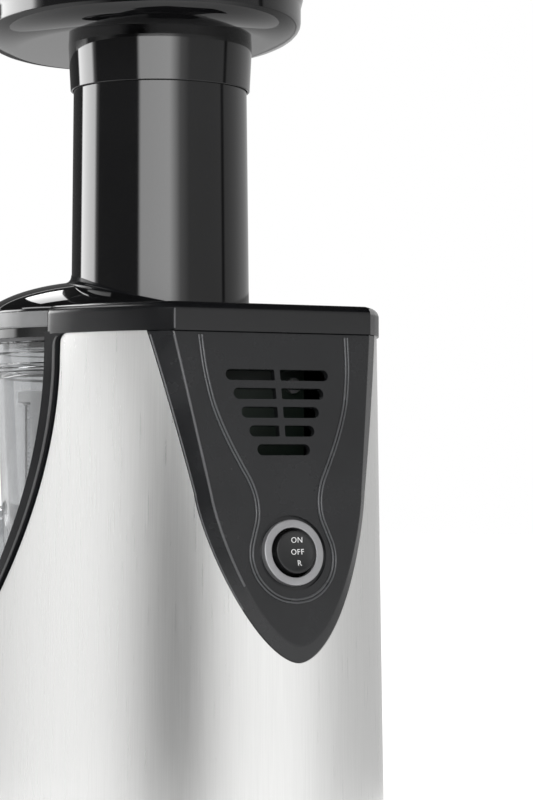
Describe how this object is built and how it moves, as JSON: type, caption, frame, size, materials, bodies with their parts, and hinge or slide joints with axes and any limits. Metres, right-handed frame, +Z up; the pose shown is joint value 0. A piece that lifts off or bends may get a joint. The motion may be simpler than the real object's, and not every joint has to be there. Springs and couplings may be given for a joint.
{
  "type": "cold press juicer",
  "caption": "Vertical cold press juicer: steel motor housing with a sloping switch panel, clear bowl with auger and strainer, domed lid, feed tube and feed tray.",
  "frame": {"origin": "centre of the bounding box's footprint on the rest plane under the feet", "axes": "+Z up, -Y to the front where the spouts are, +Y to the back where the switch is"},
  "size_m": [0.1448, 0.2184, 0.421],
  "materials": {
    "satin_black": "satin moulded plastic",
    "charcoal": "satin charcoal moulding",
    "rocker_black": "satin moulded rocker",
    "brushed_steel": "vertical brushed stainless steel",
    "silver_ring": "satin silver",
    "gloss_black": "polished",
    "foot_rubber": "matt rubber",
    "screw_steel": "zinc plated",
    "board_green": "solder mask",
    "motor_steel": "rolled steel",
    "copper": "enamelled copper wire",
    "fan_grey": "moulded",
    "brass": "machined",
    "cast_grey": "die cast",
    "gear_white": "acetal",
    "seal_red": "food silicone",
    "clear_plastic": "clear moulded plastic",
    "strainer_black": "moulded",
    "perforated_steel": "perforated sheet",
    "milky_plastic": "milky moulded plastic",
    "auger_black": "moulded",
    "seal_grey": "silicone"
  },
  "bodies": {
    "housing": {"base_pan": "satin_black", "rubber_feet": "foot_rubber", "base_screws": "screw_steel", "chassis": "satin_black", "steel_wrap": "brushed_steel", "front_trim": "satin_black", "top_cap": "satin_black", "back_panel": "charcoal", "panel_screws": "screw_steel", "switch_housing": "satin_black", "switch_bezel": "silver_ring", "switch_pin": "screw_steel", "control_board": "board_green", "board_posts": "screw_steel", "interlock_switch": "satin_black", "inlet_gland": "satin_black", "motor_can": "motor_steel", "motor_stator": "motor_steel", "stator_windings": "copper", "motor_end_bell": "motor_steel", "motor_bearings": "screw_steel", "motor_screws": "screw_steel", "gearbox_case": "cast_grey", "gearbox_cover": "cast_grey", "gearbox_screws": "screw_steel", "gear_pin": "screw_steel", "shaft_bearings": "screw_steel", "shaft_seal": "seal_red"},
    "rocker": {"switch_rocker": "rocker_black"},
    "rotor": {"motor_rotor": "motor_steel", "motor_pinion": "brass", "cooling_fan": "fan_grey"},
    "reduction": {"reduction_gear": "gear_white"},
    "output": {"output_gear": "gear_white", "drive_shaft": "screw_steel"},
    "bowl": {"juice_bowl": "clear_plastic", "bowl_seal": "seal_red", "idler_pin": "screw_steel", "strainer_frame": "strainer_black", "strainer_screen": "perforated_steel"},
    "idler": {"idler_gear": "gear_white"},
    "wiper": {"wiper_frame": "milky_plastic", "wiper_blades": "seal_red"},
    "auger": {"auger": "auger_black", "auger_gear": "gear_white"},
    "lid": {"lid": "gloss_black", "lid_seal": "seal_grey", "lid_bush": "gear_white"},
    "tray": {"tray": "gloss_black"}
  },
  "joints": [
    {"name": "motor_spin", "type": "hinge", "parent": "housing", "child": "rotor", "pos_m": [0, -0.0365, 0.06], "axis": [0, 0, 1], "continuous": true},
    {"name": "reduction_spin", "type": "hinge", "parent": "housing", "child": "reduction", "pos_m": [0, -0.0005, 0.12], "axis": [0, 0, 1], "continuous": true},
    {"name": "drive_spin", "type": "hinge", "parent": "housing", "child": "output", "pos_m": [0, -0.0365, 0.14], "axis": [0, 0, 1], "continuous": true},
    {"name": "rocker_tilt", "type": "hinge", "parent": "housing", "child": "rocker", "pos_m": [0, 0.09848, 0.19818], "axis": [1, 0, 0], "range_deg": [-9, 9]},
    {"name": "bowl_lift", "type": "slide", "parent": "housing", "child": "bowl", "axis": [0, 0, 1], "range_m": [0, 0.15]},
    {"name": "auger_spin", "type": "hinge", "parent": "bowl", "child": "auger", "pos_m": [0, -0.0365, 0.2], "axis": [0, 0, 1], "continuous": true},
    {"name": "idler_spin", "type": "hinge", "parent": "bowl", "child": "idler", "pos_m": [0, -0.0134, 0.17], "axis": [0, 0, 1], "continuous": true},
    {"name": "wiper_spin", "type": "hinge", "parent": "bowl", "child": "wiper", "pos_m": [0, -0.0365, 0.2], "axis": [0, 0, 1], "continuous": true},
    {"name": "lid_lift", "type": "slide", "parent": "bowl", "child": "lid", "axis": [0, 0, 1], "range_m": [0, 0.08]},
    {"name": "tray_lift", "type": "slide", "parent": "lid", "child": "tray", "axis": [0, 0, 1], "range_m": [0, 0.05]}
  ],
  "couplings": [
    {"joint": "reduction_spin", "follows": "motor_spin", "ratio": -0.2},
    {"joint": "drive_spin", "follows": "motor_spin", "ratio": 0.05},
    {"joint": "auger_spin", "follows": "motor_spin", "ratio": 0.05},
    {"joint": "idler_spin", "follows": "motor_spin", "ratio": -0.066667},
    {"joint": "wiper_spin", "follows": "motor_spin", "ratio": -0.02}
  ]
}
